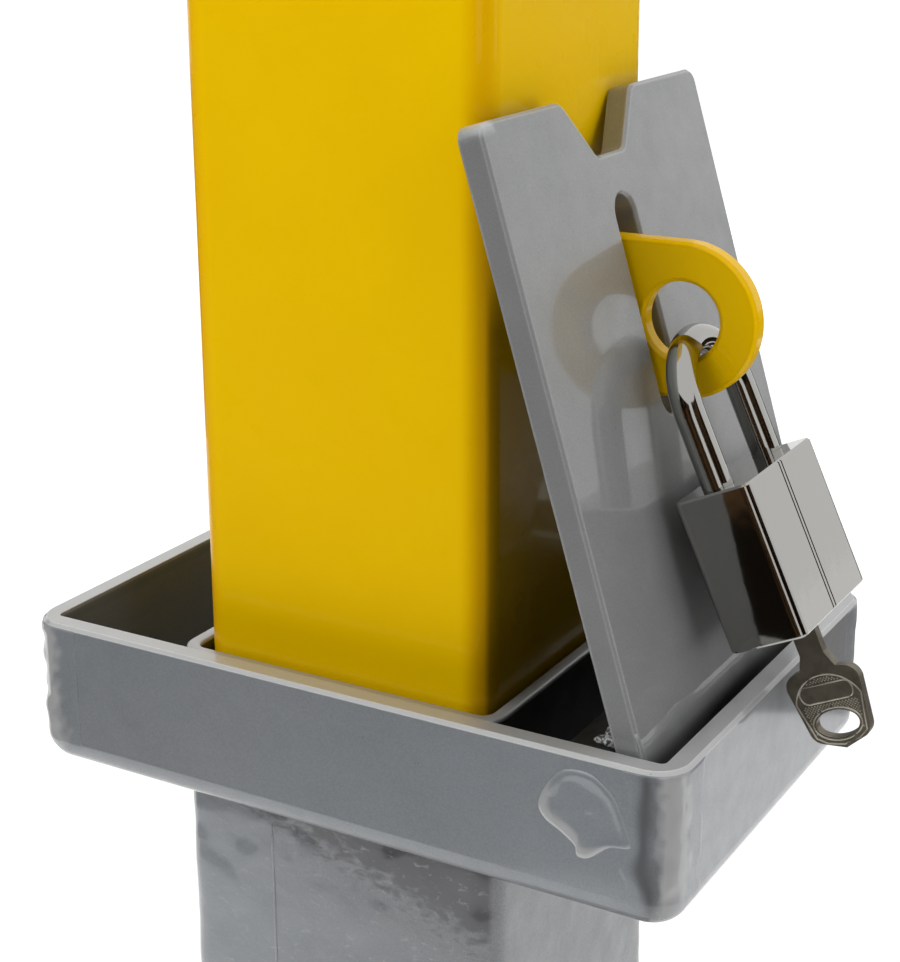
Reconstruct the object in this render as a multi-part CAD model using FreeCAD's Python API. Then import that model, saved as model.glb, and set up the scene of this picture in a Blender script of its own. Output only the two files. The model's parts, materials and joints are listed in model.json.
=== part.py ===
import FreeCAD, Part
import math
import os

# Removable bollard: a square post that stands in a square socket set in the ground.
# A tray welded round the socket's mouth carries a hinged lid. While the post is in
# place the lid leans on it, its slot lets the post's lock eye through, and a padlock
# hangs on the eye in front of the lid. With the post taken out the lid folds down
# into the tray, flush with the rim.
# Millimetres. The origin is the middle of the base plate's underside, on the post's
# axis. +Z is up, +X points from the post to the hinge, and Y runs along the hinge.

V = FreeCAD.Vector
ORIGIN = V(0, 0, 0)
X_AXIS = V(1, 0, 0)
Y_AXIS = V(0, 1, 0)
Z_AXIS = V(0, 0, 1)

# How far a cutting shape runs past what it cuts, and how closely an edge is picked
past = 1.0
near = 1e-4

# Post
post_w = 80.0
post_wall = 3.0
post_corner = 6.5
post_above = 600.0
cap_t = 4.0
cap_edge = 1.5

# Ground socket
rim_z = 300.0
base_ledge = 15.0
base_t = 5.0
base_corner = 6.0
drain_d = 14.0
drain_spread = 48.0
socket_gap = 1.4
socket_wall = 3.6
socket_corner = 6.4
seat_gap = 0.2

# Tray round the socket's mouth
tray_left = 34.0
tray_right = 51.0
tray_side = 15.0
tray_wall = 5.0
tray_bend = 6.5
tray_corner = 8.5
tray_inner_corner = 1.5
rim_edge = 0.8

# Hinge
pin_d = 12.0
pin_play = 0.06
barrel_d = 28.0
barrel_side_gap = 0.5
barrel_wall_gap = 2.0
barrel_floor_gap = 5.0
barrel_edge = 1.0

# Lid
lid_t = 6.0
lid_side_gap = 1.0
lid_tip_gap = 2.3
lid_foot = 8.0
lid_rest_gap = 0.2
lid_corner = 3.5
lid_edge = 0.7
notch_top_w = 36.0
notch_bottom_w = 13.6
notch_depth = 13.6
notch_round = 3.0
notch_lip_round = 4.0
slot_w = 10.0
slot_web = 9.5
slot_above_eye = 7.8
slot_below_eye = 4.1

# Lock eye on the post
eye_t = 5.0
eye_r = 18.0
eye_hole_d = 18.0
eye_reach = 29.0
eye_edge = 0.8

# Padlock case
lock_h = 36.0
lock_round = 2.0
lock_edge = 0.5
leg_wall = 2.0
case_floor = 2.0
groove_w = 0.5
groove_deep = 0.3
groove_pitch = 1.5
groove_off = -1.5
key_rim_gap = 0.1

# Shackle
shackle_d = 7.0
shackle_inside = 22.0
shackle_clear = 28.1
shackle_play = 0.1
hang_gap = 0.6
toe_deep = 10.0
toe_edge = 0.8
leg_end_room = 1.0
opening_drop = 10.5

# Lock works
plug_d = 12.0
plug_play = 0.06
plug_boss_d = 8.8
cover_lap = 2.0
cover_rim = 1.5
cover_t = 1.5
works_gap = 0.2
cam_r = 4.9
cam_angle = 45.0
cam_pin_d = 2.0
cam_pin_h = 2.2
cam_slot_play = 0.25
latch_mid = -5.6
latch_h = 6.4
latch_nose_w = 5.6
latch_bite = 1.6
latch_tip_h = 0.8
latch_neck = 4.4
latch_body_l = 8.8
latch_low_x = -3.0
latch_high_x = 7.0
latch_spring_l = 9.4
latch_wire = 0.5
latch_coil_d = 4.8
latch_coils = 3.0
heel_spring_l = 4.0
heel_wire = 0.6
heel_coil_d = 4.6
heel_coils = 4.0
coil_sides = 8
catch_pin_d = 2.0
catch_pin_end = 1.0
catch_flat = 1.2
catch_room = 0.3
catch_z = -12.2

# Wafers in the plug
wafer_count = 5
wafer_t = 0.9
wafer_w = 7.0
wafer_l = 9.4
wafer_pitch = 3.2
wafer_up = 5.0
wafer_gap = 0.1
window_gap = 0.3
ear_w = 0.6
ear_x = -2.6
ear_out = 1.6
groove_room = 1.2
wafer_coil_d = 1.2
wafer_wire = 0.24
wafer_coils = 3.0
pocket_w = 1.7
pocket_low_x = -3.1
pocket_high_x = 1.6

# Key
key_t = 2.4
key_blade_w = 6.0
key_tip_gap = 5.5
key_tip_bevel = 1.2
key_cut = 1.0
key_cut_r = 1.8
key_cuts = 4
keyway_gap = 0.15
key_neck = 9.0
bow_flare_w = 1.5
bow_flare_h = 3.5
bow_slope = 1.0
bow_wide = 19.2
bow_narrow = 14.6
bow_side_l = 20.5
bow_l = 23.0
bow_hole_w = 10.7
bow_hole_h = 6.5
bow_hole_down = 17.0
bow_round = 3.5

# Post, socket and tray: sizes that follow
post_half = post_w / 2.0
post_top = rim_z + post_above
socket_in = post_w + 2.0 * socket_gap
socket_w = socket_in + 2.0 * socket_wall
socket_half = socket_w / 2.0
socket_top = rim_z - lid_t - seat_gap
tray_h = barrel_d + barrel_floor_gap + tray_wall
tray_x0 = -socket_half - tray_left
tray_x1 = socket_half + tray_right
tray_y = socket_half + tray_side
tray_z0 = rim_z - tray_h

# Hinge and lid: sizes that follow
barrel_r = barrel_d / 2.0
hinge_x = tray_x1 - tray_wall - barrel_wall_gap - barrel_r
hinge_z = rim_z - barrel_r
lid_w = 2.0 * (tray_y - tray_wall - lid_side_gap)
lid_reach = hinge_x - (tray_x0 + tray_wall) - lid_tip_gap
lid_in = barrel_r - lid_t

# The lid leans until the top edge of its inner face meets the post
lean_arm = math.hypot(lid_in, lid_reach)
lean_run = post_half + lid_rest_gap - hinge_x
lid_lean = math.acos(lean_run / lean_arm) - math.atan2(lid_reach, lid_in)

# The slot ends a web below the notch, and the lock eye stands where the slot lets it through
slot_top = lid_reach - notch_depth - slot_web
slot_rise = (slot_top - slot_above_eye) * math.cos(lid_lean)
eye_x = post_half + eye_reach
eye_z = hinge_z + slot_rise + lid_in * math.sin(lid_lean) - eye_r

# Padlock: sizes that follow, in its own upright frame with the case's top at height 0
shackle_r = shackle_d / 2.0
leg_y = shackle_inside / 2.0 + shackle_r
lock_w = shackle_inside + 2.0 * (shackle_d + leg_wall)
cover_d = plug_d + 2.0 * cover_lap
lock_t = cover_d + 2.0 * cover_rim
hang_drop = eye_hole_d / 2.0 - shackle_r - hang_gap
case_top = -(hang_drop + shackle_r + shackle_clear)
heel_bore_deep = lock_h - case_floor
heel_deep = heel_bore_deep - heel_spring_l
plug_r = plug_d / 2.0
latch_travel = 2.0 * cam_r * math.sin(math.radians(cam_angle))
latch_slope = opening_drop / latch_travel
latch_floor = latch_mid - latch_h / 2.0
chamber_floor = latch_floor - works_gap
plug_top = latch_floor - works_gap
cover_top = -lock_h + cover_t
toe_face = -leg_y + shackle_r
nose_tip = toe_face - latch_bite
latch_tail = nose_tip + latch_neck + latch_body_l
chamber_end = latch_tail + latch_spring_l
wafer_first = -lock_h + wafer_up
key_tip = plug_top - key_tip_gap
bow_top = -lock_h - key_neck

# The padlock swings out until its key clears the tray's rim
rim_x = tray_x1 - rim_edge - eye_x
rim_down = eye_z - rim_z + rim_edge
key_side = bow_wide / 2.0 + rim_edge + key_rim_gap
lock_lean = math.atan2(rim_x, rim_down) + math.asin(key_side / math.hypot(rim_x, rim_down))


def block(x0, x1, y0, y1, z0, z1):
    """A plain block between two corners."""
    return Part.makeBox(x1 - x0, y1 - y0, z1 - z0, V(x0, y0, z0))


def slab(x0, x1, y0, y1, z0, z1, r):
    """A block with its four upright edges rounded."""
    plain = block(x0, x1, y0, y1, z0, z1)
    if r <= 0:
        return plain
    return plain.makeFillet(r, [e for e in plain.Edges if e.BoundBox.ZLength > near])


def square_bar(width, corner, z0, z1):
    """A square bar centred on the Z axis."""
    h = width / 2.0
    return slab(-h, h, -h, h, z0, z1, corner)


def rod(d, length, at, axis):
    """A round rod from a point, along an axis."""
    return Part.makeCylinder(d / 2.0, length, at, axis)


def prism(points, along):
    """A solid from a closed flat outline, drawn out along a vector."""
    return Part.Face(Part.makePolygon(points + points[:1])).extrude(along)


def level_edges(shape, z):
    """The edges that lie wholly at one height."""
    boxes = [(e, e.BoundBox) for e in shape.Edges]
    return [e for e, box in boxes if abs(box.ZMin - z) < near and abs(box.ZMax - z) < near]


def coil(coil_d, wire_d, length, turns):
    """A compression spring that stands on the XY plane: square wire in short straight runs."""
    count = round(turns * coil_sides)
    turn = 2.0 * math.pi / coil_sides
    rise = (length - wire_d) / count
    r = coil_d / 2.0
    path = [V(r * math.cos(i * turn), r * math.sin(i * turn), i * rise) for i in range(count + 1)]
    along = (path[1] - path[0]).normalize()
    side = (X_AXIS - along * X_AXIS.dot(along)).normalize() * (wire_d / 2.0)
    up = along.cross(side)
    corners = [path[0] - side - up, path[0] + side - up, path[0] + side + up, path[0] - side + up]
    section = Part.makePolygon(corners + corners[:1])
    spring = Part.makePolygon(path).makePipeShell([section], True, False, 1)
    spring.translate(V(0, 0, wire_d / 2.0))
    return spring


def make_post_tube():
    """The square hollow section, from just over the base plate to under the cap."""
    z0 = base_t + seat_gap
    z1 = post_top - cap_t
    inner_w = post_w - 2.0 * post_wall
    inner = square_bar(inner_w, post_corner - post_wall, z0 - past, z1 + past)
    return square_bar(post_w, post_corner, z0, z1).cut(inner)


def make_post_cap():
    """The plate that closes the post's top, with a ground edge."""
    cap = square_bar(post_w, post_corner, post_top - cap_t, post_top)
    return cap.makeChamfer(cap_edge, level_edges(cap, post_top))


def make_lock_eye():
    """A flat bar with a round end and a hole, welded upright on the post's face."""
    y0 = -eye_t / 2.0
    bar = block(post_half, eye_x, y0, -y0, eye_z - eye_r, eye_z + eye_r)
    end = rod(2.0 * eye_r, eye_t, V(eye_x, y0, eye_z), Y_AXIS)
    hole = rod(eye_hole_d, eye_t + 2.0 * past, V(eye_x, y0 - past, eye_z), Y_AXIS)
    eye = bar.fuse(end).removeSplitter().cut(hole)
    free = [e for e in eye.Edges if e.BoundBox.YLength < near and e.BoundBox.XMax > post_half + near]
    return eye.makeChamfer(eye_edge, free)


def make_base_plate():
    """The plate welded under the socket, which the post stands on."""
    plate = square_bar(socket_w + 2.0 * base_ledge, base_corner, 0.0, base_t)
    for side in (-1, 1):
        at = V(side * drain_spread / 2.0, 0, -past)
        plate = plate.cut(rod(drain_d, base_t + 2.0 * past, at, Z_AXIS))
    return plate


def make_socket_tube():
    """The square hollow section that the post slides into."""
    inner = square_bar(socket_in, socket_corner - socket_wall, base_t - past, socket_top + past)
    return square_bar(socket_w, socket_corner, base_t, socket_top).cut(inner)


def make_tray():
    """The open tray round the socket's mouth, bent up from plate and welded at its corners."""
    body = slab(tray_x0, tray_x1, -tray_y, tray_y, tray_z0, rim_z, tray_corner)
    body = body.makeFillet(tray_bend, level_edges(body, tray_z0))
    body = body.makeChamfer(rim_edge, level_edges(body, rim_z))
    floor = tray_z0 + tray_wall
    room_y = tray_y - tray_wall
    room_x0 = tray_x0 + tray_wall
    room_x1 = tray_x1 - tray_wall
    room = slab(room_x0, room_x1, -room_y, room_y, floor, rim_z + past, tray_inner_corner)
    mouth = square_bar(socket_w, socket_corner, tray_z0 - past, floor + past)
    pin_way = rod(pin_d, 2.0 * (tray_y + past), V(hinge_x, -tray_y - past, hinge_z), Y_AXIS)
    return body.cut(room).cut(mouth).cut(pin_way)


def make_hinge_pin():
    """The round pin across the tray, plug welded flush with the outside of both walls."""
    return rod(pin_d, 2.0 * tray_y, V(hinge_x, -tray_y, hinge_z), Y_AXIS)


def make_hinge_barrel():
    """The thick round sleeve that turns on the pin and carries the lid."""
    length = 2.0 * (tray_y - tray_wall - barrel_side_gap)
    start = V(hinge_x, -length / 2.0, hinge_z)
    barrel = rod(barrel_d, length, start, Y_AXIS)
    barrel = barrel.makeChamfer(barrel_edge, [e for e in barrel.Edges if e.BoundBox.YLength < near])
    bore = rod(pin_d + 2.0 * pin_play, length + 2.0 * past, start - Y_AXIS * past, Y_AXIS)
    return barrel.cut(bore)


def up_the_lid(z, out):
    """How far up the leaning lid a height lies, at a distance out from the hinge axis."""
    return (z - hinge_z - out * math.sin(lid_lean)) / math.cos(lid_lean)


def lid_prism(outline):
    """A prism through the lid's thickness, from an outline of across and up pairs."""
    points = [V(lid_in - past, across, up) for across, up in outline]
    return prism(points, X_AXIS * (lid_t + 2.0 * past))


def round_through(shape, up, r):
    """Rounds the edges that run through the lid's thickness at one height."""
    picked = [e for e in level_edges(shape, up) if e.BoundBox.YLength < near]
    return shape.makeFillet(r, picked)


def make_finger_notch():
    """The flared notch in the lid's top edge, as a cutter."""
    bottom = lid_reach - notch_depth
    flare = (notch_top_w - notch_bottom_w) / 2.0 / notch_depth
    low_half = notch_bottom_w / 2.0
    top_half = notch_top_w / 2.0 + flare * past
    top = lid_reach + past
    outline = [(-low_half, bottom), (low_half, bottom), (top_half, top), (-top_half, top)]
    return round_through(lid_prism(outline), bottom, notch_round)


def make_eye_slot():
    """The slot with round ends that the lock eye passes through, as a cutter."""
    r = slot_w / 2.0
    top = slot_top - r
    low = up_the_lid(eye_z - eye_r, barrel_r) - slot_below_eye + r
    slot = lid_prism([(-r, low), (r, low), (r, top), (-r, top)])
    for up in (low, top):
        slot = slot.fuse(rod(slot_w, lid_t + 2.0 * past, V(lid_in - past, 0, up), X_AXIS))
    return slot.removeSplitter()


def make_lid_plate():
    """The plate that leans on the post: a notch in its top edge and the eye's slot below."""
    half = lid_w / 2.0
    plate = block(lid_in, barrel_r, -half, half, lid_foot, lid_reach)
    plate = round_through(plate, lid_reach, lid_corner)
    plate = round_through(plate.cut(make_finger_notch()), lid_reach, notch_lip_round)
    plate = plate.cut(make_eye_slot())
    front = [e for e in plate.Edges if abs(e.BoundBox.XMin - barrel_r) < near]
    plate = plate.makeChamfer(lid_edge, [e for e in front if e.BoundBox.ZMax > lid_foot + near])
    seat = rod(barrel_d, lid_w + 2.0 * past, V(0, -half - past, 0), Y_AXIS)
    plate = plate.cut(seat)
    plate.rotate(ORIGIN, Y_AXIS, -math.degrees(lid_lean))
    plate.translate(V(hinge_x, 0, hinge_z))
    return plate


def hang(shape):
    """Takes a padlock piece from its upright frame to where it hangs on the eye."""
    placed = shape.copy()
    placed.translate(V(0, 0, case_top))
    placed.rotate(ORIGIN, Y_AXIS, -math.degrees(lock_lean))
    placed.translate(V(eye_x, 0, eye_z))
    return placed


def nose_profile(extra):
    """The latch nose's half heights at its tip and its root, grown by a clearance."""
    tip = nose_tip - extra
    root = toe_face + latch_bite
    half_tip = latch_tip_h / 2.0 + extra * (math.hypot(1.0, latch_slope) - latch_slope)
    half_root = half_tip + (root - tip) * latch_slope
    return tip, root, half_tip, half_root


def nose_wedge(extra, width):
    """The latch's blunt nose as a prism along X, or the notch for it with a clearance."""
    tip, root, half_tip, half_root = nose_profile(extra)
    x = -width / 2.0
    points = [
        V(x, tip, latch_mid - half_tip),
        V(x, root, latch_mid - half_root),
        V(x, root, latch_mid + half_root),
        V(x, tip, latch_mid + half_tip),
    ]
    return prism(points, X_AXIS * width)


def make_shackle():
    """The bent rod: a long heel that stays in the case and a short toe with the latch notch."""
    bend_z = shackle_clear + shackle_r - leg_y
    toe = rod(shackle_d, toe_deep + bend_z, V(0, -leg_y, -toe_deep), Z_AXIS)
    toe = toe.makeChamfer(toe_edge, level_edges(toe, -toe_deep))
    heel = rod(shackle_d, heel_deep + bend_z, V(0, leg_y, -heel_deep), Z_AXIS)
    ring = Part.makeTorus(leg_y, shackle_r, V(0, 0, bend_z), X_AXIS)
    far = leg_y + shackle_d
    crown = ring.common(block(-shackle_d, shackle_d, -far, far, bend_z, bend_z + far))
    bow = toe.fuse(crown).fuse(heel).removeSplitter()
    room = catch_pin_d / 2.0 + catch_room
    flat_y = leg_y - shackle_r + catch_flat
    flat_low = catch_z - opening_drop - room
    relief = block(-shackle_d, shackle_d, flat_y - shackle_d, flat_y, flat_low, catch_z + room)
    return bow.cut(nose_wedge(works_gap, 2.0 * shackle_d)).cut(relief)


def make_latch_bolt():
    """The sliding bolt: wedge nose into the toe, and a slot below for the plug's cam pin."""
    shoulder = nose_tip + latch_neck
    top = latch_floor + latch_h
    nose_half = latch_nose_w / 2.0
    bite = block(-nose_half, nose_half, nose_tip, toe_face, latch_floor, top)
    bite = bite.common(nose_wedge(0.0, latch_nose_w))
    neck = block(-nose_half, nose_half, toe_face, shoulder, latch_floor, top)
    body = block(latch_low_x, latch_high_x, shoulder, latch_tail, latch_floor, top)
    bolt = bite.fuse(neck).fuse(body).removeSplitter()
    reach = cam_r * math.cos(math.radians(cam_angle))
    half = cam_pin_d / 2.0 + cam_slot_play
    roof = latch_floor + cam_pin_h + works_gap
    slot = block(reach - half, cam_r + half, -reach - half, -reach + half, latch_floor, roof)
    return bolt.cut(slot)


def make_latch_spring():
    """The spring behind the latch, which pushes it into the toe."""
    spring = coil(latch_coil_d, latch_wire, latch_spring_l, latch_coils)
    spring.rotate(ORIGIN, X_AXIS, -90.0)
    spring.translate(V((latch_low_x + latch_high_x) / 2.0, latch_tail, latch_mid))
    return spring


def make_shackle_spring():
    """The spring under the heel, which lifts the shackle when the latch lets go."""
    spring = coil(heel_coil_d, heel_wire, heel_spring_l, heel_coils)
    spring.translate(V(0, leg_y, -heel_bore_deep))
    return spring


def make_latch_chamber():
    """The room for the latch in the case, narrow at its nose, as a cutter."""
    top = chamber_floor + latch_h + 2.0 * works_gap
    nose_half = latch_nose_w / 2.0 + works_gap
    shoulder = nose_tip + latch_neck - works_gap
    nose_way = block(-nose_half, nose_half, -leg_y, shoulder, chamber_floor, top)
    low_x = latch_low_x - works_gap
    high_x = latch_high_x + works_gap
    return nose_way.fuse(block(low_x, high_x, shoulder, chamber_end, chamber_floor, top))


def make_wafer_grooves():
    """The two grooves in the plug's bore that the wafers spring into with the key out."""
    deep = plug_r + groove_room
    low = wafer_first - wafer_pitch
    top = wafer_first + wafer_count * wafer_pitch
    half = wafer_w / 2.0 + wafer_gap
    return block(-deep, deep, -half, half, low, top)


def cut_face_grooves(body):
    """Cuts the two thin lines that run down each broad face of the case."""
    for face in (-1, 1):
        x = face * lock_t / 2.0
        for line in (0, 1):
            y = groove_off + line * groove_pitch
            half = groove_w / 2.0
            low = -lock_h - past
            body = body.cut(block(x - groove_deep, x + groove_deep, y - half, y + half, low, past))
    return body


def make_lock_body():
    """The padlock's case with its bores, the latch's chamber and the grooved faces."""
    half_t = lock_t / 2.0
    half_w = lock_w / 2.0
    body = slab(-half_t, half_t, -half_w, half_w, -lock_h, 0.0, lock_round)
    body = body.makeChamfer(lock_edge, level_edges(body, 0.0) + level_edges(body, -lock_h))
    leg_bore = shackle_d + 2.0 * shackle_play
    toe_bore_deep = toe_deep + leg_end_room
    body = body.cut(rod(leg_bore, toe_bore_deep + past, V(0, -leg_y, -toe_bore_deep), Z_AXIS))
    body = body.cut(rod(leg_bore, heel_bore_deep + past, V(0, leg_y, -heel_bore_deep), Z_AXIS))
    under = V(0, 0, -lock_h - past)
    plug_bore = plug_d + 2.0 * plug_play
    body = body.cut(rod(plug_bore, chamber_floor + lock_h + past, under, Z_AXIS))
    body = body.cut(rod(cover_d, cover_t + past, under, Z_AXIS))
    body = body.cut(make_latch_chamber()).cut(make_wafer_grooves()).cut(make_catch_pin())
    return cut_face_grooves(body)


def make_catch_pin():
    """The pin across the case that catches the heel's foot when the lock is open."""
    y = leg_y - shackle_r + catch_flat - catch_pin_d / 2.0 - works_gap
    x = lock_t / 2.0 - catch_pin_end
    return rod(catch_pin_d, 2.0 * x, V(-x, y, catch_z), X_AXIS)


def make_cylinder_cover():
    """The pressed ring in the case's underside that holds the plug in."""
    ring = rod(cover_d, cover_t, V(0, 0, -lock_h), Z_AXIS)
    hole = rod(plug_boss_d + 2.0 * works_gap, cover_t + 2.0 * past, V(0, 0, -lock_h - past), Z_AXIS)
    return ring.cut(hole)


def wafer_heights():
    """The middle height of each wafer in the plug."""
    return [wafer_first + i * wafer_pitch for i in range(wafer_count)]


def ear_y():
    """How far out the wafer springs lie from the plug's axis."""
    return wafer_w / 2.0 + wafer_gap + pocket_w / 2.0


def make_keyway():
    """The slot up the middle of the plug that takes the key's blade, as a cutter."""
    half_w = key_blade_w / 2.0 + keyway_gap
    half_t = key_t / 2.0 + keyway_gap
    return block(-half_w, half_w, -half_t, half_t, -lock_h - past, key_tip + keyway_gap)


def make_wafer_way(z):
    """The slot for one wafer with the pocket for its ear and spring, as a cutter."""
    half_t = wafer_t / 2.0 + wafer_gap
    half_w = wafer_w / 2.0 + wafer_gap
    out = plug_r + past
    slot = block(-out, out, -half_w, half_w, z - half_t, z + half_t)
    end = ear_y() + pocket_w / 2.0
    pocket = block(pocket_low_x, pocket_high_x, 0, end, z - pocket_w / 2.0, z + pocket_w / 2.0)
    return slot.fuse(pocket)


def make_cylinder_plug():
    """The plug that the key turns: keyway, wafer slots, spring pockets and the cam pin."""
    foot = cover_top + works_gap
    plug = rod(plug_d, plug_top - foot, V(0, 0, foot), Z_AXIS)
    plug = plug.fuse(rod(plug_boss_d, foot + lock_h, V(0, 0, -lock_h), Z_AXIS))
    turn = math.radians(-cam_angle)
    at = V(cam_r * math.cos(turn), cam_r * math.sin(turn), plug_top - past)
    plug = plug.fuse(rod(cam_pin_d, cam_pin_h + past, at, Z_AXIS)).removeSplitter()
    plug = plug.cut(make_keyway())
    for z in wafer_heights():
        plug = plug.cut(make_wafer_way(z))
    return plug


def make_wafer(z):
    """One flat wafer with a window for the key and an ear for its spring."""
    low = z - wafer_t / 2.0
    top = z + wafer_t / 2.0
    half = wafer_w / 2.0
    plate = block(-wafer_l / 2.0, wafer_l / 2.0, -half, half, low, top)
    ear = block(ear_x - ear_w / 2.0, ear_x + ear_w / 2.0, 0, half + ear_out, low, top)
    window_x = key_blade_w / 2.0 + window_gap
    window_y = key_t / 2.0 + window_gap
    window = block(-window_x, window_x, -window_y, window_y, low - past, top + past)
    return plate.fuse(ear).removeSplitter().cut(window)


def make_wafers():
    """All the wafers, in the places where the key holds them."""
    return Part.makeCompound([make_wafer(z) for z in wafer_heights()])


def make_wafer_springs():
    """The small spring beside each wafer, between its ear and the end of its pocket."""
    start = ear_x + ear_w / 2.0
    springs = []
    for z in wafer_heights():
        spring = coil(wafer_coil_d, wafer_wire, pocket_high_x - start, wafer_coils)
        spring.rotate(ORIGIN, Y_AXIS, 90.0)
        spring.translate(V(start, ear_y(), z))
        springs.append(spring)
    return Part.makeCompound(springs)


def make_key_blade():
    """The key's flat blade, bevelled at its tip and cut for the wafers on both edges."""
    half = key_blade_w / 2.0
    side = key_t / 2.0
    blade = block(-half, half, -side, side, bow_top - bow_flare_h, key_tip)
    tip_edges = [e for e in level_edges(blade, key_tip) if e.BoundBox.XLength < near]
    blade = blade.makeChamfer(key_tip_bevel, tip_edges)
    pitch = (key_tip - wafer_first) / key_cuts
    for i in range(key_cuts):
        hand = 1 if i % 2 else -1
        at = V(hand * (half + key_cut_r - key_cut), -side - past, wafer_first + (i + 0.5) * pitch)
        blade = blade.cut(rod(2.0 * key_cut_r, key_t + 2.0 * past, at, Y_AXIS))
    return blade


def make_key_bow():
    """The key's shield-shaped bow, with its four outer corners rounded."""
    neck = key_blade_w / 2.0
    flare_z = bow_top - bow_flare_h
    corner_z = flare_z - bow_slope
    low_z = bow_top - bow_side_l
    right = [
        (neck, bow_top),
        (neck + bow_flare_w, flare_z),
        (bow_wide / 2.0, corner_z),
        (bow_narrow / 2.0, low_z),
    ]
    left = [(-x, z) for x, z in reversed(right)]
    outline = right + [(0.0, bow_top - bow_l)] + left
    bow = prism([V(x, -key_t / 2.0, z) for x, z in outline], Y_AXIS * key_t)
    corners = [e for e in bow.Edges if e.BoundBox.YLength > near and e.BoundBox.ZLength < near]
    corners = [e for e in corners if e.BoundBox.XLength < near]
    heights = (corner_z, low_z)
    rounded = [e for e in corners if min(abs(e.BoundBox.ZMin - z) for z in heights) < near]
    return bow.makeFillet(bow_round, rounded)


def make_key():
    """The flat key: cut blade, neck and a bow with an oval hole for a ring."""
    middle = V(0, -key_t / 2.0 - past, bow_top - bow_hole_down)
    oval = Part.Ellipse(middle, bow_hole_w / 2.0, bow_hole_h / 2.0).toShape()
    oval.rotate(middle, X_AXIS, 90.0)
    hole = Part.Face(Part.Wire([oval])).extrude(Y_AXIS * (key_t + 2.0 * past))
    return make_key_blade().fuse(make_key_bow()).removeSplitter().cut(hole)


def save(name, shape):
    """Writes one piece to its own file."""
    shape.exportStep("parts/" + name + ".step")


def main():
    os.makedirs("parts", exist_ok=True)
    save("base_plate", make_base_plate())
    save("socket_tube", make_socket_tube())
    save("tray", make_tray())
    save("hinge_pin", make_hinge_pin())
    save("hinge_barrel", make_hinge_barrel())
    save("lid_plate", make_lid_plate())
    save("post_tube", make_post_tube())
    save("post_cap", make_post_cap())
    save("lock_eye", make_lock_eye())
    save("shackle", hang(make_shackle()))
    save("lock_body", hang(make_lock_body()))
    save("cylinder_cover", hang(make_cylinder_cover()))
    save("catch_pin", hang(make_catch_pin()))
    save("latch_bolt", hang(make_latch_bolt()))
    save("latch_spring", hang(make_latch_spring()))
    save("shackle_spring", hang(make_shackle_spring()))
    save("cylinder_plug", hang(make_cylinder_plug()))
    save("wafers", hang(make_wafers()))
    save("wafer_springs", hang(make_wafer_springs()))
    save("key", hang(make_key()))


main()
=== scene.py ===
import json
import math

import bmesh
import bpy
from mathutils import Matrix, Vector, noise


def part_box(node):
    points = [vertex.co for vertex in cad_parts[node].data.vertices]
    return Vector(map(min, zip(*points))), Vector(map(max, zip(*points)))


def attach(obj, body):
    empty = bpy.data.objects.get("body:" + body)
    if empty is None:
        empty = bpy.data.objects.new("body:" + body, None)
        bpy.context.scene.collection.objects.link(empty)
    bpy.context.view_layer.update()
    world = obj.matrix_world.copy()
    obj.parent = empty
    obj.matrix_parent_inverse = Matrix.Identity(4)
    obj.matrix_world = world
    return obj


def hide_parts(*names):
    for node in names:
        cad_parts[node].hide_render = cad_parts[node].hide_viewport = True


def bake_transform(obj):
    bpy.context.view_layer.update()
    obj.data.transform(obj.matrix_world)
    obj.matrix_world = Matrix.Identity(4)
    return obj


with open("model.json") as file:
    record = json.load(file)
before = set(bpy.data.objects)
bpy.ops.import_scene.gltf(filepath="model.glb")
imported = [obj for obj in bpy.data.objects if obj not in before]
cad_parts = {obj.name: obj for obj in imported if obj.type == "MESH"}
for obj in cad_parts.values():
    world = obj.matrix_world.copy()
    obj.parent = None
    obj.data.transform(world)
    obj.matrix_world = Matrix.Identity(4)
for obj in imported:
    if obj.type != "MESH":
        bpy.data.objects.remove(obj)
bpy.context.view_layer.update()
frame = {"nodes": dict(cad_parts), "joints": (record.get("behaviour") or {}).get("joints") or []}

# Every length is in metres. mm turns a number of millimetres into metres.
mm = 0.001
X_AXIS = Vector((1, 0, 0))
Y_AXIS = Vector((0, 1, 0))
Z_AXIS = Vector((0, 0, 1))

# Places read from the frame
joints = {joint["name"]: joint for joint in frame["joints"]}
tray_low, tray_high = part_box("tray")
socket_low, socket_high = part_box("socket_tube")
barrel_low, barrel_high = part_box("hinge_barrel")
eye_low, eye_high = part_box("lock_eye")
lid_low, lid_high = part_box("lid_plate")
plate_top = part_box("base_plate")[1].z
post_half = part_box("post_tube")[1].x
socket_half = socket_high.x
barrel_r = (barrel_high.z - barrel_low.z) / 2
hinge = Vector(joints["lid_swing"]["pos_m"])
eye = Vector(joints["padlock_swing"]["pos_m"])
lock_up = Vector(joints["key_turn"]["axis"])
lock_out = Vector((lock_up.z, 0, -lock_up.x))

# Sizes that the frame doesn't give
tray_wall = 5 * mm
tray_corner = 8.5 * mm
tray_bend = 6.5 * mm
rim_edge = 0.8 * mm
socket_wall = 3.6 * mm
socket_corner = 6.4 * mm
post_corner = 6.5 * mm
lid_t = 6 * mm
lid_weld_up = 13.9 * mm
eye_t = 5 * mm
plug_weld_sink = 0.5 * mm
key_t = 2.4 * mm

# The photograph's camera, found from the edges of the tray, the post and the lid
camera_azimuth = math.radians(30.995)
camera_elevation = math.radians(17.513)
camera_roll = math.radians(-0.527)
camera_place = Vector((0.23529, -0.39509, 0.48567))
camera_lens = 72.588
camera_shift = (0.03584, -0.03608)

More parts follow.
